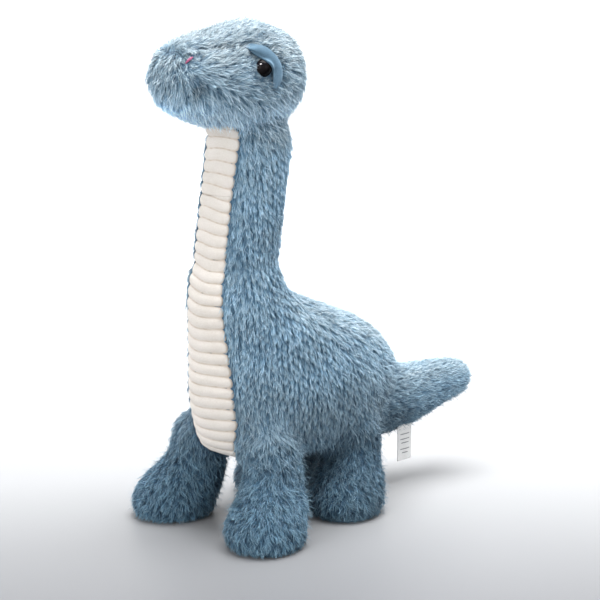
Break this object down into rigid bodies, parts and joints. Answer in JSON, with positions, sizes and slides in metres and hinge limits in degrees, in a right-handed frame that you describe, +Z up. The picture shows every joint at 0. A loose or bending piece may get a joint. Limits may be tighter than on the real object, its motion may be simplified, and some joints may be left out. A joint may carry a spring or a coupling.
{
  "type": "stuffed dinosaur",
  "caption": "Standing long-neck plush dinosaur in tufted blue fur cloth, with a ribbed cream bib, glossy safety eyes, half-closed lids and a tapered tail.",
  "frame": {"origin": "on the floor, under the centre of the toy's outer box", "axes": "+Z up, -Y the way the toy faces, +X its left side"},
  "size_m": [0.1438, 0.2802, 0.347],
  "materials": {
    "fur": "tufted long-pile fur cloth",
    "ribbed_cloth": "short-pile cloth with padded ribs",
    "suede": "smooth suede cloth",
    "stuffing": "loose polyester fibre",
    "eye": "polished",
    "washer": "moulded",
    "thread": "embroidery thread",
    "label": "woven satin ribbon"
  },
  "bodies": {
    "torso": {"torso_stuffing": "stuffing", "torso_side_left": "fur", "torso_side_right": "fur", "belly_panel": "ribbed_cloth"},
    "neck": {"neck_stuffing": "stuffing", "neck_side_left": "fur", "neck_side_right": "fur", "neck_bib": "ribbed_cloth"},
    "head": {"head_stuffing": "stuffing", "head_side_left": "fur", "head_side_right": "fur", "head_gusset": "fur", "head_chin": "fur", "eye_left": "eye", "eye_right": "eye", "eye_washer_left": "washer", "eye_washer_right": "washer", "eyelid_left": "suede", "eyelid_right": "suede", "nostril_left": "thread", "nostril_right": "thread"},
    "tail": {"tail_stuffing": "stuffing", "tail_side_left": "fur", "tail_side_right": "fur"},
    "front_left_leg": {"front_left_leg_stuffing": "stuffing", "front_left_leg_outer": "fur", "front_left_leg_inner": "fur", "front_left_sole": "fur"},
    "front_right_leg": {"front_right_leg_stuffing": "stuffing", "front_right_leg_outer": "fur", "front_right_leg_inner": "fur", "front_right_sole": "fur"},
    "hind_left_leg": {"hind_left_leg_stuffing": "stuffing", "hind_left_leg_outer": "fur", "hind_left_leg_inner": "fur", "hind_left_sole": "fur"},
    "hind_right_leg": {"hind_right_leg_stuffing": "stuffing", "hind_right_leg_outer": "fur", "hind_right_leg_inner": "fur", "hind_right_sole": "fur"},
    "label_tab": {"label": "label"}
  },
  "joints": [
    {"name": "neck_bend", "type": "hinge", "parent": "torso", "child": "neck", "pos_m": [0, -0.0785, 0.192], "axis": [1, 0, 0], "range_deg": [-15, 20], "stiffness_Nm_per_rad": 0.9},
    {"name": "head_nod", "type": "hinge", "parent": "neck", "child": "head", "pos_m": [0, -0.0665, 0.266], "axis": [1, 0, 0], "range_deg": [-15, 15], "stiffness_Nm_per_rad": 0.5},
    {"name": "tail_wag", "type": "hinge", "parent": "torso", "child": "tail", "pos_m": [0, 0.04, 0.069], "axis": [0, 0, 1], "range_deg": [-12, 25], "stiffness_Nm_per_rad": 0.3},
    {"name": "front_left_leg_swing", "type": "hinge", "parent": "torso", "child": "front_left_leg", "pos_m": [0.0355, -0.0825, 0.058], "axis": [1, 0, 0], "range_deg": [-18, 10], "stiffness_Nm_per_rad": 0.9},
    {"name": "front_right_leg_swing", "type": "hinge", "parent": "torso", "child": "front_right_leg", "pos_m": [-0.0355, -0.0825, 0.058], "axis": [1, 0, 0], "range_deg": [-18, 10], "stiffness_Nm_per_rad": 0.9},
    {"name": "hind_left_leg_swing", "type": "hinge", "parent": "torso", "child": "hind_left_leg", "pos_m": [0.032, 0.0045, 0.058], "axis": [1, 0, 0], "range_deg": [-10, 18], "stiffness_Nm_per_rad": 0.9},
    {"name": "hind_right_leg_swing", "type": "hinge", "parent": "torso", "child": "hind_right_leg", "pos_m": [-0.032, 0.0045, 0.058], "axis": [1, 0, 0], "range_deg": [-10, 18], "stiffness_Nm_per_rad": 0.9},
    {"name": "label_flap", "type": "hinge", "parent": "tail", "child": "label_tab", "pos_m": [0.022, 0.073, 0.0465], "axis": [0, 1, 0], "range_deg": [-60, 40]}
  ]
}
